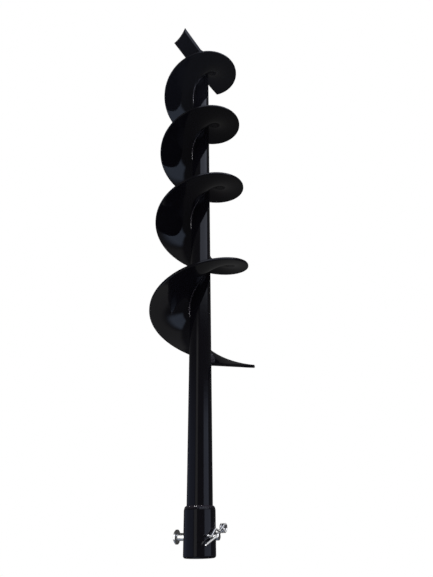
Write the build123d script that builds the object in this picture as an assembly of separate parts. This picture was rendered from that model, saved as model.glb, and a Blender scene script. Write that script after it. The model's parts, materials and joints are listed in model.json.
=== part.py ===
"""Single-flight soil auger with a socket connector, cross pin and spring clip.

A black enamelled steel auger bit. A round tube carries one right-hand helical
flight, welded on in sectional turns. A thicker socket sleeve on the drive end
takes a round drive shaft, held by a clevis pin with a spring clip. A raked
cutting blade and a pilot point are welded on the ground end.

Frame, in millimetres: the origin is the centre of the sleeve's open end, and
+Z runs along the auger towards its point. +X is to the right and +Y is away
from the side on which the clip sits.
"""

from build123d import *
from math import cos, pi, radians, sin, sqrt
import os

# Driving dimensions, in millimetres and degrees
TUBE_RADIUS = 12.5
TUBE_BORE_RADIUS = 9.5
TUBE_START_Z = 28.0
TUBE_END_Z = 757.0
CONTACT_GAP = 0.02

SLEEVE_RADIUS = 15.0
SLEEVE_LENGTH = 40.1
SOCKET_RADIUS = 10.0
SOCKET_LENGTH = 12.0
SOCKET_RELIEF_RADIUS = 10.5
SLEEVE_EDGE_RADIUS = 2.0
SLEEVE_WELD_HEIGHT = 1.9
STOP_THICKNESS = 4.0

FLIGHT_RADIUS = 60.4
FLIGHT_PITCH = 132.0
FLIGHT_START_Z = 181.9
FLIGHT_START_ANGLE = 6.15
FLIGHT_AXIAL_THICKNESS = 3.6
# How much nearer the point the flight's root is than its rim
FLIGHT_DISH = 6.2
FLIGHT_FIRST_TURN = -0.05
FLIGHT_LAST_TURN = 4.19
# The flight's leading end is cut along a straight line that misses the axis
LEADING_CUT_ANGLE = 43.3
LEADING_CUT_OFFSET = 17.9

ROOT_WELD_REACH = 3.0
ROOT_WELD_AXIAL = 5.0
SEAM_WELD_WIDTH = 4.0
SEAM_WELD_HEIGHT = 1.6
END_WELD_TURNS = 0.045
END_WELD_REACH = 4.6
END_WELD_AXIAL = 8.5

BLADE_AZIMUTH = 233.8
BLADE_RAKE = 43.7
BLADE_MIDDLE_Z = 740.5
BLADE_REACH = 59.3
BLADE_WIDTH = 30.8
BLADE_THICKNESS = 5.0
BLADE_BEVEL_RUN = 6.0
BLADE_EDGE_THICKNESS = 1.0
BLADE_END_RADIUS = 62.0
BLADE_WELD_REACH = 4.0
BLADE_WELD_RISE = 3.0

POINT_LENGTH = 22.0
POINT_SPIGOT_LENGTH = 12.0
POINT_TIP_RADIUS = 1.5

PIN_AZIMUTH = -25.0
PIN_Z = 16.7
PIN_RADIUS = 3.2
PIN_HOLE_RADIUS = 3.28
PIN_HEAD_RADIUS = 6.1
PIN_HEAD_THICKNESS = 1.8
PIN_HEAD_UNDERSIDE = -22.8
PIN_END = 19.8
PIN_CHAMFER = 0.6

CLIP_AT = 16.6
CLIP_TILT = 14.7
CLIP_WIRE_RADIUS = 1.2
CLIP_HOLE_RADIUS = 1.3
CLIP_EYE_X = -14.2
CLIP_EYE_RADIUS = 3.1
CLIP_LEG_END = 24.0
CLIP_COIL_OFFSET = 3.1
CLIP_LEAN = 9.2
CLIP_LEG_ARC = 250.0
CLIP_COIL_START = -60.0
CLIP_COIL_ARC = 210.0
# The spring leg over the pin, as corners of its route and the bend at each
CLIP_WAVE = [(-11.6, 6.2), (-4.5, 3.0), (0.8, 6.3), (2.6, 6.6), (10.4, 2.4), (15.4, 5.2)]
CLIP_WAVE_BENDS = [2.0, 2.0, 2.0, 3.0, 2.0]

PARTS_FOLDER = "parts"
parts = {}


def turned(shape, angle):
    """Return the shape turned about the auger's axis."""
    return shape.rotate(Axis.Z, angle)


def ring(outer, inner, low, high):
    """Return a tube about the auger's axis between two heights."""
    height = high - low
    middle = (low + high) / 2
    return Pos(0, 0, middle) * (Cylinder(outer, height) - Cylinder(inner, height))


def pin_place():
    """Return the plane whose z runs along the pin, from its head to its end."""
    along = Vector(cos(radians(PIN_AZIMUTH)), sin(radians(PIN_AZIMUTH)), 0)
    return Plane(origin=(0, 0, PIN_Z), x_dir=(0, 0, 1), z_dir=along)


def clip_place():
    """Return the clip's plane: x to the straight leg's end, y over the pin."""
    azimuth = radians(PIN_AZIMUTH)
    tilt = radians(CLIP_TILT)
    along = Vector(cos(azimuth), sin(azimuth), 0)
    side = Vector(-sin(azimuth), cos(azimuth), 0)
    leg = side * -cos(tilt) + Vector(0, 0, -sin(tilt))
    centre = along * CLIP_AT + Vector(0, 0, PIN_Z)
    return Plane(origin=centre, x_dir=leg, z_dir=along * -1)


def dish(radius):
    """Return how far the dished flight stands towards the point at a radius."""
    return FLIGHT_DISH * (FLIGHT_RADIUS - radius) / (FLIGHT_RADIUS - TUBE_RADIUS)


def helical_band(first_turn, last_turn, inner, outer, lift, axial):
    """Return a helical plate on the flight's helix, between two radii.

    The lift moves it along the axis from the flight's drive-side face, and
    axial is its thickness measured along the axis.
    """
    height = (last_turn - first_turn) * FLIGHT_PITCH
    inner_edge = Pos(0, 0, dish(inner)) * Helix(FLIGHT_PITCH, height, inner)
    outer_edge = Pos(0, 0, dish(outer)) * Helix(FLIGHT_PITCH, height, outer)
    face = Face.make_surface_from_curves(inner_edge, outer_edge)
    band = Solid.extrude(face, Vector(0, 0, axial))
    rise = FLIGHT_START_Z + first_turn * FLIGHT_PITCH - FLIGHT_AXIAL_THICKNESS / 2 + lift
    angle = FLIGHT_START_ANGLE + first_turn * 360
    return Pos(0, 0, rise) * turned(band, angle)


def make_tube_and_sleeve():
    """Make the shaft tube, the socket sleeve on it, the stop and the weld."""
    cross_hole = pin_place() * Cylinder(PIN_HOLE_RADIUS, 4 * SLEEVE_RADIUS)
    parts["shaft_tube"] = ring(TUBE_RADIUS, TUBE_BORE_RADIUS, TUBE_START_Z, TUBE_END_Z)

    sleeve = Pos(0, 0, SLEEVE_LENGTH / 2) * Cylinder(SLEEVE_RADIUS, SLEEVE_LENGTH)
    sleeve = fillet(sleeve.edges().filter_by(GeomType.CIRCLE), SLEEVE_EDGE_RADIUS)
    sleeve -= Pos(0, 0, SOCKET_LENGTH / 2) * Cylinder(SOCKET_RADIUS, SOCKET_LENGTH)
    relief_depth = TUBE_START_Z - SOCKET_LENGTH
    relief = Cylinder(SOCKET_RELIEF_RADIUS, relief_depth)
    sleeve -= Pos(0, 0, SOCKET_LENGTH + relief_depth / 2) * relief
    seat_depth = SLEEVE_LENGTH - TUBE_START_Z
    seat = Cylinder(TUBE_RADIUS + CONTACT_GAP, seat_depth)
    sleeve -= Pos(0, 0, TUBE_START_Z + seat_depth / 2) * seat
    parts["connector_sleeve"] = sleeve - cross_hole

    stop = Cylinder(TUBE_BORE_RADIUS - CONTACT_GAP, STOP_THICKNESS)
    parts["socket_stop"] = Pos(0, 0, TUBE_START_Z + STOP_THICKNESS / 2) * stop

    foot = TUBE_RADIUS + CONTACT_GAP
    toe = SLEEVE_RADIUS - SLEEVE_EDGE_RADIUS
    section = Plane.XZ * Polygon(
        (foot, SLEEVE_LENGTH),
        (toe, SLEEVE_LENGTH),
        (toe, SLEEVE_LENGTH + SLEEVE_WELD_HEIGHT / 2),
        (foot, SLEEVE_LENGTH + SLEEVE_WELD_HEIGHT),
        align=None,
    )
    parts["sleeve_weld"] = revolve(section, Axis.Z)


def leading_cut():
    """Return the block that trims the flight's leading end to its straight edge."""
    depth = 2 * FLIGHT_RADIUS
    middle_y = LEADING_CUT_OFFSET + depth / 2
    block = Pos(FLIGHT_RADIUS, middle_y, TUBE_END_Z) * Box(depth, depth, FLIGHT_PITCH)
    return turned(block, LEADING_CUT_ANGLE)


def make_flight():
    """Make the sectional turns of the flight and the welds that hold them."""
    foot = TUBE_RADIUS + CONTACT_GAP
    above = FLIGHT_AXIAL_THICKNESS + CONTACT_GAP
    starts = [FLIGHT_FIRST_TURN, 1, 2, 3, 4]
    ends = starts[1:] + [FLIGHT_LAST_TURN]
    end_weld_last = FLIGHT_FIRST_TURN + END_WELD_TURNS
    weld_starts = [end_weld_last] + starts[1:]
    for number, (first, weld_first, last) in enumerate(zip(starts, weld_starts, ends), start=1):
        parts[f"flight_turn_{number}"] = helical_band(
            first, last, foot, FLIGHT_RADIUS, 0, FLIGHT_AXIAL_THICKNESS
        )
        parts[f"root_weld_{number}"] = helical_band(
            weld_first, last, foot, foot + ROOT_WELD_REACH, above, ROOT_WELD_AXIAL
        )
    parts["flight_turn_5"] -= leading_cut()
    parts["flight_end_weld"] = helical_band(
        FLIGHT_FIRST_TURN, end_weld_last, foot, foot + END_WELD_REACH, above, END_WELD_AXIAL
    )
    seam_turns = SEAM_WELD_WIDTH / (2 * pi * FLIGHT_RADIUS)
    for number, turn in enumerate(starts[1:], start=1):
        parts[f"seam_weld_{number}"] = helical_band(
            turn - seam_turns / 2, turn + seam_turns / 2,
            foot + ROOT_WELD_REACH + CONTACT_GAP, FLIGHT_RADIUS - SEAM_WELD_HEIGHT,
            above, SEAM_WELD_HEIGHT,
        )


def blade_place():
    """Return the blade's plane: x outwards, y to the cutting edge, z its normal."""
    azimuth = radians(BLADE_AZIMUTH)
    rake = radians(BLADE_RAKE)
    outward = Vector(cos(azimuth), sin(azimuth), 0)
    around = Vector(-sin(azimuth), cos(azimuth), 0)
    edge = around * cos(rake) + Vector(0, 0, sin(rake))
    return Plane(origin=(0, 0, BLADE_MIDDLE_Z), x_dir=outward, z_dir=outward.cross(edge))


def make_blade_and_point():
    """Make the raked cutting blade, its weld and the pilot point."""
    half_width = BLADE_WIDTH / 2
    half_thick = BLADE_THICKNESS / 2
    section = Polygon(
        (-half_width, -half_thick),
        (half_width - BLADE_BEVEL_RUN, -half_thick),
        (half_width, half_thick - BLADE_EDGE_THICKNESS),
        (half_width, half_thick),
        (-half_width, half_thick),
        align=None,
    )
    across = Plane(origin=(0, 0, 0), x_dir=(0, 1, 0), z_dir=(1, 0, 0))
    bar = extrude(across * section, BLADE_REACH)
    hollow_x = BLADE_REACH + sqrt(BLADE_END_RADIUS**2 - half_width**2)
    bar -= Pos(hollow_x, 0, 0) * Cylinder(BLADE_END_RADIUS, 4 * BLADE_THICKNESS)
    place = blade_place()
    saddle = Pos(0, 0, BLADE_MIDDLE_Z) * Cylinder(TUBE_RADIUS + CONTACT_GAP, 4 * BLADE_WIDTH)
    parts["cutting_blade"] = place * bar - saddle

    reach = TUBE_RADIUS + BLADE_WELD_REACH
    bead_box = Box(BLADE_REACH, BLADE_WIDTH, BLADE_THICKNESS + 2 * BLADE_WELD_RISE)
    bead = place * Pos(BLADE_REACH / 2, 0, 0) * bead_box
    bead &= Pos(0, 0, BLADE_MIDDLE_Z) * Cylinder(reach, 4 * BLADE_WIDTH)
    slab = Box(4 * BLADE_REACH, 4 * BLADE_WIDTH, BLADE_THICKNESS + 2 * CONTACT_GAP)
    parts["blade_weld"] = bead - saddle - place * slab

    spigot = Pos(0, 0, TUBE_END_Z - POINT_SPIGOT_LENGTH / 2) * Cylinder(
        TUBE_BORE_RADIUS - CONTACT_GAP, POINT_SPIGOT_LENGTH
    )
    cone = Pos(0, 0, TUBE_END_Z + POINT_LENGTH / 2) * Cone(
        TUBE_RADIUS, POINT_TIP_RADIUS, POINT_LENGTH
    )
    parts["pilot_point"] = spigot + cone


def make_pin():
    """Make the clevis pin, headed at one end and drilled for the clip."""
    length = PIN_END - PIN_HEAD_UNDERSIDE
    shank = Pos(0, 0, (PIN_END + PIN_HEAD_UNDERSIDE) / 2) * Cylinder(PIN_RADIUS, length)
    end_edge = shank.edges().filter_by(GeomType.CIRCLE).sort_by(Axis.Z)[-1]
    shank = chamfer(end_edge, PIN_CHAMFER)
    head_z = PIN_HEAD_UNDERSIDE - PIN_HEAD_THICKNESS / 2
    head = Pos(0, 0, head_z) * Cylinder(PIN_HEAD_RADIUS, PIN_HEAD_THICKNESS)
    face_edge = head.edges().filter_by(GeomType.CIRCLE).sort_by(Axis.Z)[0]
    head = chamfer(face_edge, PIN_CHAMFER)
    hole_plane = clip_place()
    hole = Plane(origin=hole_plane.origin, z_dir=hole_plane.x_dir) * Cylinder(
        CLIP_HOLE_RADIUS, 4 * PIN_RADIUS
    )
    parts["clevis_pin"] = pin_place() * (shank + head) - hole


def swept_wire(path):
    """Return round wire of the clip's gauge along a planar path, in place."""
    start = path @ 0
    heading = path % 0
    return sweep(Plane(origin=start, z_dir=heading) * Circle(CLIP_WIRE_RADIUS), path=path)


def make_clip():
    """Make the clip: a straight leg with its coil, and the sprung leg."""
    place = clip_place()
    eye = (CLIP_EYE_X, CLIP_EYE_RADIUS)
    leg = Line((CLIP_LEG_END, 0), (CLIP_EYE_X, 0))
    coil = CenterArc(eye, CLIP_EYE_RADIUS, -90, -CLIP_LEG_ARC)
    parts["r_clip"] = place * swept_wire(Wire([leg, coil]))

    second_coil = CenterArc(eye, CLIP_EYE_RADIUS, CLIP_COIL_START, -CLIP_COIL_ARC)
    eye_top = (CLIP_EYE_X, 2 * CLIP_EYE_RADIUS)
    wave = FilletPolyline(eye_top, *CLIP_WAVE, radius=CLIP_WAVE_BENDS)
    spring_wire = swept_wire(Wire([second_coil] + list(wave.edges())))
    lean = Pos(CLIP_EYE_X, 0, -CLIP_COIL_OFFSET) * Rot(0, -CLIP_LEAN, 0) * Pos(-CLIP_EYE_X, 0, 0)
    parts["r_clip_spring_leg"] = place * lean * spring_wire


def write_parts():
    """Write one STEP file for each node."""
    os.makedirs(PARTS_FOLDER, exist_ok=True)
    for name, shape in parts.items():
        export_step(shape, f"{PARTS_FOLDER}/{name}.step")
        print(f"{name}: {shape.volume:.0f} mm3")


make_tube_and_sleeve()
make_flight()
make_blade_and_point()
make_pin()
make_clip()
write_parts()
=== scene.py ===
"""Soil auger: a black enamelled bit with a helical flight, socket and spring clip.

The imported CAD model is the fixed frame, and every piece here is built round it
in metres, with +Z along the auger towards its point.
"""

import json
import logging
import math
from dataclasses import dataclass, field
from enum import Enum

import bpy
import numpy as np
from mathutils import Matrix, Vector

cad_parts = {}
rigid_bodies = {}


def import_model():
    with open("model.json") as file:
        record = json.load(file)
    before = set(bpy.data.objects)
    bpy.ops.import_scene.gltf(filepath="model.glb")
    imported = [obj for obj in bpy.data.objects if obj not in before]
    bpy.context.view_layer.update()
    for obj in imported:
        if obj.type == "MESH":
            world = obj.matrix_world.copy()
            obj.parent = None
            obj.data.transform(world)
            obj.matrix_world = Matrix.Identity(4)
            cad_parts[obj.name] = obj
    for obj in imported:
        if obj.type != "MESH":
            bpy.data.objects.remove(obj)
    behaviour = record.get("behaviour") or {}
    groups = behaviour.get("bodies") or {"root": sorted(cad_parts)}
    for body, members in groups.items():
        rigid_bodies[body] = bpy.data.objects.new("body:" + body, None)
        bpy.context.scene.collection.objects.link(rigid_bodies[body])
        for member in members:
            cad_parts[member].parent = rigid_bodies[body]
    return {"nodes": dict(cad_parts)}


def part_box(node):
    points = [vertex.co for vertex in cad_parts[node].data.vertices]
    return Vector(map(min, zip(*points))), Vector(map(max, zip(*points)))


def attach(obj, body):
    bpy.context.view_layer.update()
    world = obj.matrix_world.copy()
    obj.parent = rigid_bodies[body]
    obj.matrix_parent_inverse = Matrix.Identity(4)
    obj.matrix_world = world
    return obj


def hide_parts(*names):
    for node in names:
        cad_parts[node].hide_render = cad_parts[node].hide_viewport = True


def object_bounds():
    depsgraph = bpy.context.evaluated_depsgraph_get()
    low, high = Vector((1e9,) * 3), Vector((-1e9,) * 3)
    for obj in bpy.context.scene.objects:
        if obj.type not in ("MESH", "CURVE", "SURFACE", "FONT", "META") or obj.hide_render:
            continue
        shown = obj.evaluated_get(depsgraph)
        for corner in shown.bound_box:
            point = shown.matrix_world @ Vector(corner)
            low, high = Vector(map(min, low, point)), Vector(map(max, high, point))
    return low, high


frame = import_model()
CAD_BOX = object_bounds()

LOG = logging.getLogger("soil_auger")
MILLIMETRE = 0.001
TURN = 2.0 * math.pi


class Body(str, Enum):
    """The moving bodies of the auger."""

    AUGER = "auger"
    PIN = "pin"
    CLIP = "clip"


class FinishSlot(str, Enum):
    """The record's material slots."""

    ENAMEL = "black_enamel"
    ZINC = "zinc_plate"
    WIRE = "spring_wire"


# --------------------------------------------------------------------------
# Mesh making
# --------------------------------------------------------------------------


def mesh_object(name: str, points: np.ndarray, faces: np.ndarray, caps: list[list[int]],
                sharp_degrees: float = 40.0) -> bpy.types.Object:
    """Make a smooth-shaded object from arrays of points and quads.

    Args:
        name: The piece's name.
        points: Vertices, n by 3, in metres.
        faces: Quads, m by 4, as vertex indices.
        caps: Extra faces, each a list of vertex indices.
        sharp_degrees: Edges that turn by more than this are drawn sharp.

    Returns:
        The new object, linked to the scene.
    """
    mesh = bpy.data.meshes.new(name)
    mesh.from_pydata(points.tolist(), [], faces.tolist() + caps)
    mesh.validate()
    mesh.shade_smooth()
    mesh.set_sharp_from_angle(angle=math.radians(sharp_degrees))
    piece = bpy.data.objects.new(name, mesh)
    bpy.context.scene.collection.objects.link(piece)
    return piece


def grid_faces(rows: int, columns: int, close_rows: bool, close_columns: bool) -> np.ndarray:
    """Return the quads of a rows by columns grid of vertices.

    A quad joins vertex (i, j) to its neighbours (i + 1, j), (i + 1, j + 1)
    and (i, j + 1); a closed direction also joins its last line to its first.

    Args:
        rows: Number of rings.
        columns: Number of points in each ring.
        close_rows: Whether the last ring joins the first.
        close_columns: Whether each ring is a closed loop.

    Returns:
        The quads, m by 4.
    """
    last_row = rows if close_rows else rows - 1
    last_column = columns if close_columns else columns - 1
    i, j = np.meshgrid(np.arange(last_row), np.arange(last_column), indexing="ij")
    i2 = (i + 1) % rows
    j2 = (j + 1) % columns
    quads = [i * columns + j, i2 * columns + j, i2 * columns + j2, i * columns + j2]
    return np.stack(quads, axis=-1).reshape(-1, 4)


def loft(name: str, rings: np.ndarray, sharp_degrees: float = 40.0) -> bpy.types.Object:
    """Make a closed solid from a stack of closed rings, with a fan at each end.

    Args:
        name: The piece's name.
        rings: Ring points, rings by points by 3, in metres.
        sharp_degrees: Edges that turn by more than this are drawn sharp.

    Returns:
        The new object, with its faces outwards.
    """
    rows, columns, _ = rings.shape
    points = rings.reshape(-1, 3)
    middles = np.stack([rings[0].mean(axis=0), rings[-1].mean(axis=0)])
    points = np.concatenate([points, middles])
    faces = grid_faces(rows, columns, False, True)
    first_middle = rows * columns
    ring = np.arange(columns)
    following = (ring + 1) % columns
    last = (rows - 1) * columns
    low = np.stack([ring, following, np.full(columns, first_middle)], axis=-1)
    high = np.stack([last + following, last + ring, np.full(columns, first_middle + 1)], axis=-1)
    caps = low.tolist() + high.tolist()
    piece = mesh_object(name, points, faces, caps, sharp_degrees)
    turn_outwards(piece)
    return piece


def revolve(name: str, profile: np.ndarray, segments: int, closed: bool = True,
            sharp_degrees: float = 40.0) -> bpy.types.Object:
    """Turn a profile about the auger's axis.

    Each profile point (radius r, height z) becomes the circle
    (r cos a, r sin a, z) for a from 0 to a full turn.

    Args:
        name: The piece's name.
        profile: Points of radius and height, n by 2, in metres.
        segments: Number of steps in the turn.
        closed: Whether the profile is a closed loop; an open one ends on poles.
        sharp_degrees: Edges that turn by more than this are drawn sharp.

    Returns:
        The new object, with its faces outwards.
    """
    angle = np.arange(segments) * TURN / segments
    radius = profile[:, 0][:, None]
    points = np.stack([radius * np.cos(angle), radius * np.sin(angle),
                       np.repeat(profile[:, 1][:, None], segments, axis=1)], axis=-1)
    if not closed:
        return loft(name, points, sharp_degrees)
    count = len(profile)
    faces = grid_faces(count, segments, True, True)
    piece = mesh_object(name, points.reshape(-1, 3), faces, [], sharp_degrees)
    turn_outwards(piece)
    return piece


def turn_outwards(piece: bpy.types.Object) -> None:
    """Flip a closed mesh if its enclosed volume is negative.

    The volume is the sum over triangles of a . (b x c) / 6.
    """
    mesh = piece.data
    mesh.calc_loop_triangles()
    points = np.zeros(len(mesh.vertices) * 3)
    mesh.vertices.foreach_get("co", points)
    corners = np.zeros(len(mesh.loop_triangles) * 3, dtype=np.int32)
    mesh.loop_triangles.foreach_get("vertices", corners)
    triangle = points.reshape(-1, 3)[corners.reshape(-1, 3)]
    volume = np.einsum("ij,ij->i", triangle[:, 0], np.cross(triangle[:, 1], triangle[:, 2])).sum()
    if volume < 0.0:
        mesh.flip_normals()


def arc(centre: tuple[float, float], radius: float, start: float, end: float,
        count: int) -> np.ndarray:
    """Return points on a flat arc, centre plus radius times (cos a, sin a).

    Args:
        centre: The arc's centre.
        radius: Its radius.
        start: First angle in degrees.
        end: Last angle in degrees.
        count: Number of points.

    Returns:
        The points, count by 2.
    """
    angle = np.radians(np.linspace(start, end, count))
    return np.stack([centre[0] + radius * np.cos(angle), centre[1] + radius * np.sin(angle)], axis=-1)


def tube_along(path: np.ndarray, radius: np.ndarray, sides: int) -> np.ndarray:
    """Return the rings of a round tube along a path.

    Each ring is centre + r (u cos a + v sin a), where u and v are carried
    along the path by removing their part along each new tangent.

    Args:
        path: Centre points, n by 3.
        radius: Radius at each point, n.
        sides: Points in each ring.

    Returns:
        Ring points, n by sides by 3.
    """
    tangent = np.gradient(path, axis=0)
    tangent /= np.linalg.norm(tangent, axis=1, keepdims=True)
    side = np.cross(tangent[0], [0.3, 0.5, 0.8])
    side /= np.linalg.norm(side)
    sides_along = []
    for direction in tangent:
        side = side - direction * (side @ direction)
        side = side / np.linalg.norm(side)
        sides_along.append(side)
    u = np.array(sides_along)
    v = np.cross(tangent, u)
    angle = np.arange(sides) * TURN / sides
    ring = u[:, None, :] * np.cos(angle)[None, :, None] + v[:, None, :] * np.sin(angle)[None, :, None]
    return path[:, None, :] + radius[:, None, None] * ring


def fractional_wave(phase: np.ndarray, seed: float) -> np.ndarray:
    """Return a repeatable uneven wave between about -1 and 1.

    It is the mean of three sines whose periods share no common multiple.
    """
    waves = np.sin(phase + seed) + np.sin(phase * 0.73 + seed * 2.1) + np.sin(phase * 1.37 + seed * 3.7)
    return waves / 3.0


# --------------------------------------------------------------------------
# Finishes
# --------------------------------------------------------------------------


class NodeBoard:
    """A small helper that adds and joins shader nodes."""

    def __init__(self, tree: bpy.types.NodeTree) -> None:
        """Clear the tree and keep it."""
        self.tree = tree
        tree.nodes.clear()

    def add(self, kind: str, **settings: object) -> bpy.types.Node:
        """Add a node and set its plain properties."""
        node = self.tree.nodes.new(kind)
        for key, value in settings.items():
            setattr(node, key, value)
        return node

    def join(self, source: bpy.types.NodeSocket, target: bpy.types.NodeSocket) -> None:
        """Join an output to an input."""
        self.tree.links.new(source, target)

    def math(self, operation: str, first: object, second: object = None) -> bpy.types.NodeSocket:
        """Add a math node whose inputs are sockets or numbers, and return its output."""
        node = self.add("ShaderNodeMath", operation=operation)
        for index, value in enumerate((first, second)):
            if value is None:
                continue
            if isinstance(value, bpy.types.NodeSocket):
                self.join(value, node.inputs[index])
            else:
                node.inputs[index].default_value = value
        return node.outputs[0]

    def noise(self, vector: bpy.types.NodeSocket, scale: float, detail: float,
              roughness: float = 0.5) -> bpy.types.NodeSocket:
        """Add a noise texture and return its value."""
        node = self.add("ShaderNodeTexNoise")
        self.join(vector, node.inputs["Vector"])
        node.inputs["Scale"].default_value = scale
        node.inputs["Detail"].default_value = detail
        node.inputs["Roughness"].default_value = roughness
        return node.outputs["Fac"]

    def remap(self, value: bpy.types.NodeSocket, low: float, high: float, to_low: float,
              to_high: float, kind: str = "LINEAR") -> bpy.types.NodeSocket:
        """Map a value from one range to another, clamped, and return it."""
        node = self.add("ShaderNodeMapRange", interpolation_type=kind)
        self.join(value, node.inputs["Value"])
        node.inputs["From Min"].default_value = low
        node.inputs["From Max"].default_value = high
        node.inputs["To Min"].default_value = to_low
        node.inputs["To Max"].default_value = to_high
        return node.outputs["Result"]

    def blend_colours(self, amount: bpy.types.NodeSocket, first: object,
                      second: object) -> bpy.types.NodeSocket:
        """Blend two colours by a socket's value.

        Args:
            amount: Zero for the first colour and one for the second.
            first: A socket or a colour.
            second: A socket or a colour.

        Returns:
            The socket of the blend.
        """
        node = self.add("ShaderNodeMix", data_type="RGBA")
        self.join(amount, node.inputs[0])
        for socket, value in zip((node.inputs[6], node.inputs[7]), (first, second)):
            if isinstance(value, bpy.types.NodeSocket):
                self.join(value, socket)
            else:
                socket.default_value = (*value, 1.0)
        return node.outputs[2]


@dataclass(frozen=True)
class GlossEnamel:
    """Black stoving enamel with faint orange peel, dusty in patches, and with a painted sheen that makes it
    lighter and bluer towards the point.
    """

    name: str = "gloss_black_enamel"
    deep: tuple[float, float, float] = (0.017, 0.0145, 0.02)
    dusty: tuple[float, float, float] = (0.02, 0.0175, 0.0235)
    # Painted sheen: the lighter, bluer enamel colour used towards the point.
    point_sheen_colour: tuple[float, float, float] = (0.052, 0.052, 0.067)
    peel_scale: float = 260.0
    peel_depth: float = 0.00002
    roughness_low: float = 0.03
    roughness_high: float = 0.09
    lumps: float = 0.0

    def build(self) -> bpy.types.Material:
        """Build the material.

        Returns:
            The node material.
        """
        material = bpy.data.materials.new(self.name)
        material.use_nodes = True
        board = NodeBoard(material.node_tree)
        place = board.add("ShaderNodeTexCoord").outputs["Object"]
        shader = board.add("ShaderNodeBsdfPrincipled")
        shader.inputs["IOR"].default_value = 1.5
        broad = board.noise(place, 38.0, 4.0, 0.55)
        dust = board.remap(broad, 0.45, 0.75, 0.0, 1.0)
        split = board.add("ShaderNodeSeparateXYZ")
        board.join(place, split.inputs[0])
        # Painted sheen: the enamel blends to a lighter, bluer colour towards the point.
        point_sheen_amount = board.remap(split.outputs["Z"], 0.56, 0.72, 0.0, 1.0, "SMOOTHSTEP")
        speckled = board.blend_colours(dust, self.deep, self.dusty)
        board.join(board.blend_colours(point_sheen_amount, speckled, self.point_sheen_colour), shader.inputs["Base Color"])
        haze = board.noise(place, 90.0, 3.0, 0.6)
        rough = board.remap(haze, 0.35, 0.8, self.roughness_low, self.roughness_high)
        board.join(rough, shader.inputs["Roughness"])
        peel = board.noise(place, self.peel_scale, 2.0, 0.4)
        bump = board.add("ShaderNodeBump")
        bump.inputs["Strength"].default_value = 1.0
        bump.inputs["Distance"].default_value = self.peel_depth
        board.join(peel, bump.inputs["Height"])
        normal = bump.outputs["Normal"]
        if self.lumps > 0.0:
            coarse = board.add("ShaderNodeBump")
            coarse.inputs["Distance"].default_value = self.lumps
            board.join(board.noise(place, 700.0, 3.0, 0.5), coarse.inputs["Height"])
            board.join(normal, coarse.inputs["Normal"])
            normal = coarse.outputs["Normal"]
        board.join(normal, shader.inputs["Normal"])
        output = board.add("ShaderNodeOutputMaterial")
        board.join(shader.outputs["BSDF"], output.inputs["Surface"])
        return material


@dataclass(frozen=True)
class BrightMetal:
    """Plated steel, with fine drawing marks and a little dullness in patches."""

    name: str
    light: tuple[float, float, float]
    dark: tuple[float, float, float]
    roughness_low: float
    roughness_high: float
    grain_scale: float = 900.0
    grain_depth: float = 0.00001

    def build(self) -> bpy.types.Material:
        """Build the material.

        Returns:
            The node material.
        """
        material = bpy.data.materials.new(self.name)
        material.use_nodes = True
        board = NodeBoard(material.node_tree)
        place = board.add("ShaderNodeTexCoord").outputs["Object"]
        shader = board.add("ShaderNodeBsdfPrincipled")
        shader.inputs["Metallic"].default_value = 1.0
        patches = board.noise(place, 240.0, 4.0, 0.6)
        amount = board.remap(patches, 0.4, 0.7, 0.0, 1.0)
        board.join(board.blend_colours(amount, self.light, self.dark), shader.inputs["Base Color"])
        board.join(board.remap(patches, 0.35, 0.7, self.roughness_low, self.roughness_high),
                   shader.inputs["Roughness"])
        bump = board.add("ShaderNodeBump")
        bump.inputs["Distance"].default_value = self.grain_depth
        board.join(board.noise(place, self.grain_scale, 2.0, 0.5), bump.inputs["Height"])
        board.join(bump.outputs["Normal"], shader.inputs["Normal"])
        output = board.add("ShaderNodeOutputMaterial")
        board.join(shader.outputs["BSDF"], output.inputs["Surface"])
        return material


@dataclass
class Paintshop:
    """Builds each finish once and dresses pieces and CAD nodes with it."""

    enamel: bpy.types.Material = field(init=False)
    weld: bpy.types.Material = field(init=False)
    zinc: bpy.types.Material = field(init=False)
    wire: bpy.types.Material = field(init=False)

    def __post_init__(self) -> None:
        """Build the four finishes."""
        self.enamel = GlossEnamel().build()
        self.weld = GlossEnamel(name="enamel_on_weld", roughness_low=0.08, roughness_high=0.3,
                                lumps=0.0002).build()
        self.zinc = BrightMetal("bright_zinc", (0.95, 0.95, 0.95), (0.82, 0.82, 0.81), 0.24, 0.36).build()
        self.wire = BrightMetal("spring_wire", (0.95, 0.95, 0.96), (0.8, 0.8, 0.81), 0.16, 0.3).build()

    def dress(self, piece: bpy.types.Object, material: bpy.types.Material) -> None:
        """Give a piece one material in place of any it has."""
        piece.data.materials.clear()
        piece.data.materials.append(material)


def settle(piece: bpy.types.Object, body: Body, slot: FinishSlot, *nodes: str) -> None:
    """Put a finished piece on its body and hide the CAD nodes it replaces.

    Args:
        piece: The finished piece.
        body: The body it moves with.
        slot: The record's slot for its finish; not used.
        nodes: CAD nodes that it replaces.
    """
    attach(piece, body.value)
    if nodes:
        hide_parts(*nodes)
    LOG.info("%s: %d vertices on body %s", piece.name, len(piece.data.vertices), body.value)


# --------------------------------------------------------------------------
# The auger's parts
# --------------------------------------------------------------------------


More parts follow.
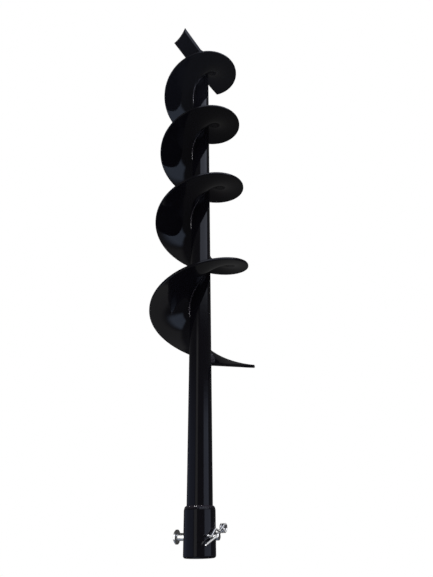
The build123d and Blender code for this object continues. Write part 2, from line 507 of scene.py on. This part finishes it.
@dataclass
class Helix:
    """The flight's helix, read from the frame's boxes.

    The point at turn t, radius r and lift h is
    (r cos(a + 2 pi t), r sin(a + 2 pi t), base + pitch t + h + dish (R - r) / (R - r0)),
    where R is the rim's radius and r0 the tube's, so the root is nearer the point.
    """

    start_degrees: float = 6.15
    first_turn: float = -0.05
    last_turn: float = 4.19
    dish: float = 6.2 * MILLIMETRE
    cut_degrees: float = 43.3
    cut_offset: float = 17.9 * MILLIMETRE
    pitch: float = field(init=False)
    thickness: float = field(init=False)
    radius: float = field(init=False)
    tube: float = field(init=False)
    base: float = field(init=False)

    def __post_init__(self) -> None:
        """Work out the pitch, thickness, radius and base height from the turns' boxes."""
        second_low, second_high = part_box("flight_turn_2")
        third_low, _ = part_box("flight_turn_3")
        self.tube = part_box("shaft_tube")[1].x
        self.pitch = third_low.z - second_low.z
        self.thickness = second_high.z - second_low.z - self.pitch - self.dish
        self.radius = (second_high.x - second_low.x) / 2.0
        self.base = second_low.z - self.pitch

    def points(self, turn: np.ndarray, radius: np.ndarray, lift: np.ndarray) -> np.ndarray:
        """Return points on the helix for arrays of turn, radius and lift."""
        angle = math.radians(self.start_degrees) + TURN * turn
        rise = self.dish * (self.radius - radius) / (self.radius - self.tube)
        height = self.base + self.pitch * turn + lift + rise
        return np.stack([radius * np.cos(angle), radius * np.sin(angle), height], axis=-1)

    def reach(self, turn: np.ndarray) -> np.ndarray:
        """Return the plate's outer radius at each turn.

        It is the rim's radius, or the distance to the straight leading cut, which
        is its offset over the sine of the angle past the cut's direction.
        """
        angle = math.radians(self.start_degrees - self.cut_degrees) + TURN * (turn - 4.0)
        cut = self.cut_offset / np.sin(np.clip(angle, 0.02, math.pi / 2.0))
        return np.where(turn > 4.1, np.minimum(cut, self.radius), self.radius)


@dataclass
class Flight:
    """The helical flight in its sectional turns, with the welds that hold it."""

    helix: Helix
    paintshop: Paintshop
    steps_per_turn: int = 300
    edge_round: float = 1.1 * MILLIMETRE
    root_bead: float = 3.0 * MILLIMETRE
    root_bead_axial: float = 4.9 * MILLIMETRE
    ripples_per_turn: int = 62
    under_bead: float = 1.5 * MILLIMETRE
    end_blob_turns: float = 0.045
    seam_half_width: float = 2.0 * MILLIMETRE
    seam_height: float = 1.5 * MILLIMETRE

    def plate_section(self) -> np.ndarray:
        """Return the plate's section as radius and lift, with its outer edge rounded.

        It runs out along the drive side, round two quarter arcs at the rim and
        back along the point side.
        """
        inner = self.helix.tube
        outer = self.helix.radius
        thick = self.helix.thickness
        round_ = self.edge_round
        count = 44
        span = np.linspace(inner, outer - round_, count)
        low = np.stack([span, np.zeros(count)], axis=-1)
        high = np.stack([span[::-1], np.full(count, thick)], axis=-1)
        corner_low = arc((outer - round_, round_), round_, -90, 0, 8)
        corner_high = arc((outer - round_, thick - round_), round_, 0, 90, 8)
        return np.concatenate([low, corner_low[1:], corner_high[:-1], high])

    def build_turn(self, number: int, first: float, last: float) -> None:
        """Build one turn of the plate, carrying its section along the helix.

        Args:
            number: The turn's number, from the drive end.
            first: Turn value where it starts.
            last: Turn value where it ends.
        """
        section = self.plate_section()
        steps = max(60, int(self.steps_per_turn * (last - first)))
        turn = np.linspace(first, last, steps)[:, None]
        inner = self.helix.tube
        share = (section[None, :, 0] - inner) / (self.helix.radius - inner)
        radius = inner + (self.helix.reach(turn) - inner) * share
        rings = self.helix.points(turn, radius, np.repeat(section[None, :, 1], steps, axis=0))
        piece = loft(f"flight_plate_{number}", rings, 50.0)
        self.paintshop.dress(piece, self.paintshop.enamel)
        settle(piece, Body.AUGER, FinishSlot.ENAMEL, f"flight_turn_{number}")

    def bead(self, name: str, first: float, last: float, lift: float, upwards: bool, reach: float,
             axial: float, uneven: float) -> bpy.types.Object:
        """Build a rippled weld bead in the corner between the tube and the plate.

        The section is a hollow-free quarter ellipse from the tube to the plate;
        its size swells by a rounded saw along the bead and by a slow wave.

        Args:
            name: The piece's name.
            first: Turn value where it starts.
            last: Turn value where it ends.
            lift: Lift of the plate's face at the bead.
            upwards: Whether the bead is on the point side of the plate.
            reach: How far it runs out along the plate.
            axial: How far it runs along the tube.
            uneven: How much the ripples swell it, as a share.

        Returns:
            The bead.
        """
        steps = max(24, int((last - first) * self.ripples_per_turn * 8))
        turn = np.linspace(first, last, steps)
        saw = np.abs(np.sin(turn * self.ripples_per_turn * math.pi))
        slow = fractional_wave(turn * TURN * 5.0, 1.3)
        taper = np.clip(np.minimum(turn - first, last - turn) * 90.0, 0.35, 1.0)
        size = (1.0 - uneven + uneven * np.sqrt(saw) + 0.5 * uneven * (slow - 1.0)) * taper
        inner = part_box("shaft_tube")[1].x - 0.1 * MILLIMETRE
        curve = arc((0.0, 0.0), 1.0, 0, 90, 11)
        section = np.concatenate([np.array([[0.0, -0.08]]), curve])
        sign = 1.0 if upwards else -1.0
        radius = inner + reach * size[:, None] * section[None, :, 0]
        height = lift + sign * axial * size[:, None] * section[None, :, 1]
        rings = self.helix.points(turn[:, None], radius, height)
        piece = loft(name, rings, 60.0)
        self.paintshop.dress(piece, self.paintshop.weld)
        return piece

    def build_seam(self, number: int, turn: float) -> None:
        """Build the bead that joins two turns, a low ridge along the radius.

        The ridge's height is a half ellipse across it, swelled by ripples along it.

        Args:
            number: The seam's number, from the drive end.
            turn: Turn value of the seam.
        """
        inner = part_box("shaft_tube")[1].x + self.root_bead
        outer = self.helix.radius - 1.6 * MILLIMETRE
        steps = 150
        radius = np.linspace(inner, outer, steps)
        ripple = 0.82 + 0.18 * np.sqrt(np.abs(np.sin((radius - inner) / (1.25 * MILLIMETRE) * math.pi / 2)))
        taper = np.clip(np.minimum(radius - inner, outer - radius) / (1.5 * MILLIMETRE), 0.3, 1.0)
        size = ripple * taper
        curve = arc((0.0, 0.0), 1.0, 0, 180, 13)
        across = self.seam_half_width * size[:, None] * curve[None, :, 0]
        height = self.helix.thickness + self.seam_height * size[:, None] * curve[None, :, 1]
        rings = self.helix.points(turn + across / (TURN * radius[:, None]), radius[:, None] + 0 * across,
                                  height - 0.05 * MILLIMETRE)
        piece = loft(f"seam_bead_{number}", rings, 60.0)
        self.paintshop.dress(piece, self.paintshop.weld)
        settle(piece, Body.AUGER, FinishSlot.ENAMEL, f"seam_weld_{number}")

    def build_end_blob(self) -> None:
        """Build the rough lump of weld at the flight's lower end, on its point side.

        The section is a quarter ellipse whose size is uneven along the turn and
        round the section, as the sum of two waves in each direction.
        """
        low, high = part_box("flight_end_weld")
        steps, columns = 70, 40
        first = self.helix.first_turn + 0.0004
        turn = np.linspace(first, first + self.end_blob_turns, steps)[:, None]
        along = np.linspace(0.0, 1.0, steps)[:, None]
        angle = np.radians(np.linspace(0.0, 90.0, columns))[None, :]
        lumps = (np.sin(along * 23.0 + angle * 6.0) + np.sin(along * 41.0 - angle * 11.0 + 1.0)
                 + np.sin(along * 9.0 + angle * 17.0 + 2.0)) / 3.0
        ends = np.clip(np.minimum(along, 1.0 - along) * 9.0, 0.25, 1.0) ** 0.5
        size = (0.86 + 0.14 * lumps) * ends
        reach = 4.4 * MILLIMETRE
        rise = 8.3 * MILLIMETRE
        start = self.helix.tube - 0.1 * MILLIMETRE
        radius = start + reach * size * np.cos(angle)
        lift = self.helix.thickness - 0.1 * MILLIMETRE + rise * size * np.sin(angle)
        corner_radius = np.full((steps, 1), start)
        corner_lift = np.full((steps, 1), self.helix.thickness - 0.1 * MILLIMETRE)
        rings = self.helix.points(turn, np.concatenate([radius, corner_radius], axis=1),
                                  np.concatenate([lift, corner_lift], axis=1))
        rings[..., 2] = np.clip(rings[..., 2], low.z - 1.0 * MILLIMETRE, high.z)
        piece = loft("lower_end_blob", rings, 60.0)
        self.paintshop.dress(piece, self.paintshop.weld)
        settle(piece, Body.AUGER, FinishSlot.ENAMEL, "flight_end_weld")

    def build(self) -> None:
        """Build every turn, root bead, seam and the rough weld at the lower end."""
        starts = [self.helix.first_turn, 1.0, 2.0, 3.0, 4.0]
        ends = starts[1:] + [self.helix.last_turn]
        weld_starts = [self.helix.first_turn + self.end_blob_turns] + starts[1:]
        for number, (first, weld_first, last) in enumerate(zip(starts, weld_starts, ends), start=1):
            self.build_turn(number, first, last)
            bead = self.bead(f"root_bead_{number}", weld_first, last, self.helix.thickness, True,
                             self.root_bead, self.root_bead_axial, 0.12)
            settle(bead, Body.AUGER, FinishSlot.ENAMEL, f"root_weld_{number}")
            under = self.bead(f"under_bead_{number}", first, last, 0.0, False,
                              self.under_bead, self.under_bead, 0.3)
            settle(under, Body.AUGER, FinishSlot.ENAMEL)
        for number, turn in enumerate(starts[1:], start=1):
            self.build_seam(number, turn)
        self.build_end_blob()


@dataclass
class Shaft:
    """The tube, its socket sleeve, the bead between them and the pilot point."""

    paintshop: Paintshop
    segments: int = 192
    shoulder_reach: float = 2.3 * MILLIMETRE
    shoulder_drop: float = 0.9 * MILLIMETRE

    def build_tube(self) -> None:
        """Build the tube as a ring section turned about the axis."""
        low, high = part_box("shaft_tube")
        stop_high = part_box("socket_stop")[1]
        outer, inner = high.x, stop_high.x
        heights = np.linspace(low.z, high.z, 60)
        wall = np.stack([np.full(60, outer), heights], axis=-1)
        bore = np.stack([np.full(60, inner), heights[::-1]], axis=-1)
        piece = revolve("tube", np.concatenate([wall, bore]), self.segments)
        self.paintshop.dress(piece, self.paintshop.enamel)
        settle(piece, Body.AUGER, FinishSlot.ENAMEL, "shaft_tube")

    def build_shoulder_bead(self) -> None:
        """Build the bead on the sleeve's shoulder, a rippled and slightly crowned slope.

        The section runs straight from the tube down to the sleeve's rounded
        edge, swelled outwards by a half sine, and its size ripples round the tube.
        """
        low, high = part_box("sleeve_weld")
        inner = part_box("shaft_tube")[1].x
        reach = self.shoulder_reach
        drop = self.shoulder_drop
        rise = high.z - low.z + drop
        angle = np.linspace(0.0, TURN, 601)[:-1]
        stops = np.sqrt(np.abs(np.sin(angle * 15.0)))
        ripple = 0.9 + 0.09 * stops + 0.04 * fractional_wave(angle * 3.0, 0.4)
        along = np.linspace(0.0, 1.0, 12)
        crown = 0.16 * np.sin(along * math.pi)
        slope = np.stack([1.0 - along + crown, along + crown], axis=-1)
        section = np.concatenate([slope, [[-0.1, 1.0], [-0.1, 0.0]]])
        radius = inner + reach * ripple[:, None] * section[None, :, 0]
        height = low.z - drop + rise * np.minimum(ripple[:, None] * section[None, :, 1], 1.0)
        across = [radius * np.cos(angle)[:, None], radius * np.sin(angle)[:, None]]
        points = np.stack([*across, height], axis=-1)
        faces = grid_faces(len(angle), len(section), True, True)
        piece = mesh_object("shoulder_bead", points.reshape(-1, 3), faces, [], 60.0)
        turn_outwards(piece)
        self.paintshop.dress(piece, self.paintshop.enamel)
        settle(piece, Body.AUGER, FinishSlot.ENAMEL, "sleeve_weld")

    def build(self) -> None:
        """Build the shaft's pieces and paint the CAD nodes that stay."""
        self.build_tube()
        self.build_shoulder_bead()
        for node in ("connector_sleeve", "socket_stop", "pilot_point", "cutting_blade"):
            self.paintshop.dress(frame["nodes"][node], self.paintshop.enamel)
            LOG.info("%s: CAD node painted", node)
        self.paintshop.dress(frame["nodes"]["blade_weld"], self.paintshop.weld)
        LOG.info("blade_weld: CAD node painted")


@dataclass
class PinAndClip:
    """The clevis pin and the spring clip bent from one length of wire."""

    paintshop: Paintshop
    pin_azimuth: float = -25.0
    tilt: float = 14.7
    lean: float = 9.2
    clip_at: float = 16.6 * MILLIMETRE
    pin_height: float = 16.7 * MILLIMETRE
    wire_radius: float = 1.02 * MILLIMETRE
    eye_x: float = -14.2 * MILLIMETRE
    eye_radius: float = 3.1 * MILLIMETRE
    leg_end: float = 24.0 * MILLIMETRE
    coil_offset: float = 3.1 * MILLIMETRE
    coil_start: float = -1.0 * MILLIMETRE
    coil_end: float = 4.1 * MILLIMETRE
    coil_turns: float = 2.5
    join_reach: float = 8.0 * MILLIMETRE

    def place(self) -> np.ndarray:
        """Return the clip's axes as rows: leg direction, over the pin, along the pin."""
        azimuth = math.radians(self.pin_azimuth)
        tilt = math.radians(self.tilt)
        along = np.array([math.cos(azimuth), math.sin(azimuth), 0.0])
        side = np.array([-math.sin(azimuth), math.cos(azimuth), 0.0])
        up = np.array([0.0, 0.0, 1.0])
        leg = -math.cos(tilt) * side - math.sin(tilt) * up
        over = -math.sin(tilt) * side + math.cos(tilt) * up
        return np.stack([leg, over, along])

    def build_clip(self) -> None:
        """Build the clip from its straight leg, close-wound eye and waved leg.

        The route is a straight leg that drifts to the eye's inner side, a circle
        carried sideways for the eye, and a smooth curve through the wave's high
        and low points that leans back over the straight leg.
        """
        mm = MILLIMETRE
        along = np.linspace(self.leg_end, self.eye_x + 0.4 * mm, 60)
        shift = self.coil_start * np.clip(-along / abs(self.eye_x), 0.0, 1.0)
        leg = np.stack([along, np.zeros(60), shift], axis=-1)
        angle = np.radians(-90.0) - np.linspace(0.0, self.coil_turns * TURN, 180)
        drift = np.linspace(self.coil_start, self.coil_end, 180)
        eye = np.stack([self.eye_x + self.eye_radius * np.cos(angle),
                        self.eye_radius + self.eye_radius * np.sin(angle), drift], axis=-1)
        key = np.array([[-12.6, 6.1], [-10.8, 5.7], [-7.5, 4.2], [-4.5, 3.3], [-2.2, 4.3], [0.3, 5.9],
                        [1.7, 6.35], [3.4, 6.1], [7.0, 4.2], [10.3, 2.7], [12.3, 3.4], [15.4, 5.2]]) * mm
        wave = smooth_curve(np.concatenate([eye[-1:, :2], key]), 140)[1:]
        lean = math.radians(self.lean)
        reach = wave[:, 0] - self.eye_x
        leaning = self.coil_offset - reach * math.sin(lean)
        join = np.clip(1.0 - reach / self.join_reach, 0.0, 1.0)
        aside = leaning + (self.coil_end - self.coil_offset) * join
        wave = np.stack([self.eye_x + reach * math.cos(lean), wave[:, 1], aside], axis=-1)
        route = np.concatenate([leg, eye[1:], wave])
        place = self.place()
        centre = self.clip_at * place[2] + np.array([0.0, 0.0, self.pin_height])
        path = centre + route @ place
        radius = np.full(len(path), self.wire_radius)
        radius[:2] *= [0.55, 0.9]
        radius[-2:] *= [0.9, 0.55]
        piece = loft("spring_clip", tube_along(path, radius, 20), 60.0)
        self.paintshop.dress(piece, self.paintshop.wire)
        settle(piece, Body.CLIP, FinishSlot.WIRE, "r_clip", "r_clip_spring_leg")

    def build(self) -> None:
        """Build the clip and plate the pin's CAD node."""
        self.build_clip()
        self.paintshop.dress(frame["nodes"]["clevis_pin"], self.paintshop.zinc)
        LOG.info("clevis_pin: CAD node plated")


def smooth_curve(points: np.ndarray, count: int) -> np.ndarray:
    """Return a Catmull-Rom curve through points, evenly divided in its parameter.

    Args:
        points: Points to pass through, n by d.
        count: Number of points to return.

    Returns:
        The curve's points, count by d.
    """
    ends = np.concatenate([[2 * points[0] - points[1]], points, [2 * points[-1] - points[-2]]])
    place = np.linspace(0.0, len(points) - 1.0 - 1e-9, count)
    index = place.astype(int)
    t = (place - index)[:, None]
    a, b, c, d = (ends[index + k] for k in range(4))
    return 0.5 * (2 * b + (c - a) * t + (2 * a - 5 * b + 4 * c - d) * t**2
                  + (3 * b - 3 * c + d - a) * t**3)


# --------------------------------------------------------------------------
# Studio
# --------------------------------------------------------------------------


class Lie(str, Enum):
    """How a soft panel of the studio lies."""

    ROUND = "round"
    LEVEL = "level"


@dataclass(frozen=True)
class SoftPanel:
    """A soft-edged bright patch of the studio, by its direction from the auger.

    A round panel stands at an azimuth and elevation in degrees, where azimuth 0
    is the side the camera stands on and positive is to the right. A level panel
    lies on a plane one unit below the auger, at a place x and y on it.
    """

    across: float
    up: float
    half_wide: float
    half_high: float
    edge: float
    glow: tuple[float, float, float]
    lie: Lie = Lie.ROUND


@dataclass(frozen=True)
class LightCard:
    """A flat light that shines only on chosen pieces and is shaded only by them."""

    name: str
    place: tuple[float, float, float]
    aim: tuple[float, float, float]
    wide: float
    high: float
    power: float

    def build(self, pieces: list[bpy.types.Object]) -> None:
        """Build the light.

        Args:
            pieces: The pieces it shines on.
        """
        data = bpy.data.lights.new(self.name, "AREA")
        data.shape = "RECTANGLE"
        data.size = self.wide
        data.size_y = self.high
        data.energy = self.power
        light = bpy.data.objects.new(self.name, data)
        bpy.context.scene.collection.objects.link(light)
        heading = Vector(self.aim) - Vector(self.place)
        light.rotation_euler = heading.to_track_quat("-Z", "Y").to_euler()
        light.location = self.place
        light.visible_camera = False
        lit = bpy.data.collections.new(self.name + "_lit")
        for piece in pieces:
            lit.objects.link(piece)
        light.light_linking.receiver_collection = lit
        light.light_linking.blocker_collection = lit
        LOG.info("%s: lights %d pieces", self.name, len(pieces))


@dataclass
class Studio:
    """The pale floor, six soft lights round the auger, light cards and the camera.

    A tall strip stands to the left of the camera and a box to its right, with a
    wider box above, a faint fill at the far left and two pale sheets on the floor.
    """

    base: tuple[float, float, float] = (0.05, 0.05, 0.05)
    left_strip: SoftPanel = SoftPanel(-30, 5, 10, 20, 3, (0.3, 0.3, 0.3))
    right_box: SoftPanel = SoftPanel(60, 5, 25, 10, 4, (0.4, 0.45, 0.6))
    high_box: SoftPanel = SoftPanel(40, 45, 45, 15, 6, (0.6, 0.65, 0.8))
    left_fill: SoftPanel = SoftPanel(-90, 0, 45, 15, 10, (0.1, 0.12, 0.2))
    floor_sheet: SoftPanel = SoftPanel(-0.3, -0.2, 0.3, 0.3, 0.1, (0.4, 0.5, 0.7), Lie.LEVEL)
    floor_rear: SoftPanel = SoftPanel(0.0, 0.6, 0.6, 0.4, 0.1, (0.15, 0.15, 0.15), Lie.LEVEL)
    metal_cards: tuple[LightCard, ...] = (
        LightCard("left_card", (-0.5, -0.42, 0.03), (0.0, 0.0, 0.017), 0.55, 0.9, 2.5),
        LightCard("right_card", (0.5, -0.35, 0.2), (0.0, 0.0, 0.017), 0.4, 0.6, 1.2),
    )
    wire_cards: tuple[LightCard, ...] = (
        LightCard("back_card", (0.44, 0.32, 0.3), (0.02, 0.0, 0.017), 0.7, 0.7, 1.0),
        LightCard("front_card", (0.1, -0.7, 0.35), (0.02, 0.0, 0.017), 0.5, 0.5, 1.4),
    )
    bead_cards: tuple[LightCard, ...] = (
        LightCard("side_card", (-0.75, -0.25, 0.55), (0.0, 0.0, 0.5), 0.3, 0.9, 17.0),
    )
    shoulder_cards: tuple[LightCard, ...] = (
        LightCard("top_card", (-0.28, -0.05, 1.3), (0.0, 0.0, 0.1), 0.24, 0.24, 18.0),
    )
    focal: float = 26.37
    sensor: float = 36.0
    distance: float = 0.4504
    height: float = 0.02
    pitch: float = 0.5230
    yaw: float = 0.0438
    roll: float = -0.0186

    def panel_glow(self, board: NodeBoard, panel: SoftPanel, places: dict[Lie, tuple],
                   below: bpy.types.NodeSocket) -> bpy.types.NodeSocket:
        """Add one panel's nodes and return its glow as a vector.

        The glow is a smooth step of the distance across times one of the
        distance up, and a level panel shines only from below.

        Args:
            board: The world's node board.
            panel: The panel.
            places: For each lie, the sockets of the two coordinates.
            below: One in directions below the horizon and zero above.

        Returns:
            The socket of the panel's glow.
        """
        first, second = places[panel.lie]
        aside = board.math("SUBTRACT", first, panel.across)
        if panel.lie is Lie.ROUND:
            aside = board.math("PINGPONG", aside, 180.0)
        else:
            aside = board.math("ABSOLUTE", aside)
        above = board.math("ABSOLUTE", board.math("SUBTRACT", second, panel.up))
        wide = board.remap(aside, panel.half_wide - panel.edge, panel.half_wide + panel.edge,
                           1.0, 0.0, "SMOOTHSTEP")
        high = board.remap(above, panel.half_high - panel.edge, panel.half_high + panel.edge,
                           1.0, 0.0, "SMOOTHSTEP")
        amount = board.math("MULTIPLY", wide, high)
        if panel.lie is Lie.LEVEL:
            amount = board.math("MULTIPLY", amount, below)
        glow = board.add("ShaderNodeVectorMath", operation="SCALE")
        glow.inputs[0].default_value = panel.glow
        board.join(amount, glow.inputs["Scale"])
        return glow.outputs[0]

    def build_world(self) -> None:
        """Build the studio's light: white behind, and soft panels in reflections.

        The panels' glows add to an even base. The level plane's coordinates are
        the direction's x and y over its depth below the horizon.
        """
        world = bpy.data.worlds.new("studio")
        bpy.context.scene.world = world
        world.use_nodes = True
        board = NodeBoard(world.node_tree)
        direction = board.add("ShaderNodeSeparateXYZ")
        board.join(board.add("ShaderNodeTexCoord").outputs["Generated"], direction.inputs[0])
        x, y, z = direction.outputs
        degrees = 180.0 / math.pi
        toward = board.math("MULTIPLY", y, -1.0)
        azimuth = board.math("MULTIPLY", board.math("ARCTAN2", x, toward), degrees)
        elevation = board.math("MULTIPLY", board.math("ARCSINE", z), degrees)
        depth = board.math("MAXIMUM", board.math("MULTIPLY", z, -1.0), 0.03)
        below = board.math("LESS_THAN", z, 0.0)
        level = (board.math("DIVIDE", x, depth), board.math("DIVIDE", y, depth))
        places = {Lie.ROUND: (azimuth, elevation), Lie.LEVEL: level}
        base = board.add("ShaderNodeCombineXYZ")
        for socket, value in zip(base.inputs, self.base):
            socket.default_value = value
        total = base.outputs[0]
        panels = (self.left_strip, self.right_box, self.high_box, self.left_fill, self.floor_sheet,
                  self.floor_rear)
        for panel in panels:
            together = board.add("ShaderNodeVectorMath", operation="ADD")
            board.join(self.panel_glow(board, panel, places, below), together.inputs[0])
            board.join(total, together.inputs[1])
            total = together.outputs[0]
        studio = board.add("ShaderNodeBackground")
        board.join(total, studio.inputs["Color"])
        white = board.add("ShaderNodeBackground")
        white.inputs["Color"].default_value = (1.0, 1.0, 1.0, 1.0)
        mix = board.add("ShaderNodeMixShader")
        board.join(board.add("ShaderNodeLightPath").outputs["Is Camera Ray"], mix.inputs[0])
        board.join(studio.outputs[0], mix.inputs[1])
        board.join(white.outputs[0], mix.inputs[2])
        output = board.add("ShaderNodeOutputWorld")
        board.join(mix.outputs[0], output.inputs["Surface"])

    def build_floor(self) -> None:
        """Build the plain pale floor at the height of the socket's open end."""
        size = 6.0
        level = CAD_BOX[0].z - 0.5 * MILLIMETRE
        corners = np.array([[-size, -size, level], [size, -size, level], [size, size, level],
                            [-size, size, level]])
        floor = mesh_object("floor", corners, np.array([[0, 1, 2, 3]]), [])
        material = bpy.data.materials.new("pale_floor")
        material.use_nodes = True
        board = NodeBoard(material.node_tree)
        glow = board.add("ShaderNodeEmission")
        glow.inputs["Color"].default_value = (1.0, 1.0, 1.0, 1.0)
        output = board.add("ShaderNodeOutputMaterial")
        board.join(glow.outputs[0], output.inputs["Surface"])
        floor.data.materials.append(material)
        floor.visible_glossy = False
        floor.visible_diffuse = False
        floor.visible_shadow = False

    def build_cards(self) -> None:
        """Build the cards that pick out the bright metal and the welds."""
        wire = bpy.data.objects["spring_clip"]
        shoulder = bpy.data.objects["shoulder_bead"]
        beads = [piece for piece in bpy.data.objects if "under_bead" in piece.name or "blob" in piece.name]
        lit = ((self.metal_cards, [wire, frame["nodes"]["clevis_pin"]]), (self.wire_cards, [wire]),
               (self.bead_cards, beads), (self.shoulder_cards, [shoulder]))
        for cards, pieces in lit:
            for card in cards:
                card.build(pieces)

    def build_camera(self) -> None:
        """Build the camera close to the socket, looking up along the auger."""
        data = bpy.data.cameras.new("camera")
        data.sensor_width = self.sensor
        data.lens = self.focal
        data.clip_start = 0.01
        data.clip_end = 50.0
        camera = bpy.data.objects.new("camera", data)
        bpy.context.scene.collection.objects.link(camera)
        forward = Vector((math.sin(self.yaw) * math.cos(self.pitch),
                          math.cos(self.yaw) * math.cos(self.pitch), math.sin(self.pitch)))
        right = forward.cross(Vector((0.0, 0.0, 1.0))).normalized()
        up = right.cross(forward)
        level_right = right * math.cos(self.roll) + up * math.sin(self.roll)
        level_up = up * math.cos(self.roll) - right * math.sin(self.roll)
        turned = Matrix((level_right, level_up, -forward)).transposed()
        camera.matrix_world = Matrix.Translation((0.0, -self.distance, self.height)) @ turned.to_4x4()
        bpy.context.scene.camera = camera

    def build(self) -> None:
        """Build the light, cards, floor and camera."""
        self.build_world()
        self.build_cards()
        self.build_floor()
        self.build_camera()
        bpy.context.scene.view_settings.view_transform = "Standard"


def main() -> None:
    """Build the auger's sub-assemblies in order, then the studio."""
    logging.basicConfig(level=logging.INFO, format="%(name)s %(message)s")
    paintshop = Paintshop()
    helix = Helix()
    Shaft(paintshop).build()
    Flight(helix, paintshop).build()
    PinAndClip(paintshop).build()
    Studio().build()


if __name__ == "__main__":
    main()
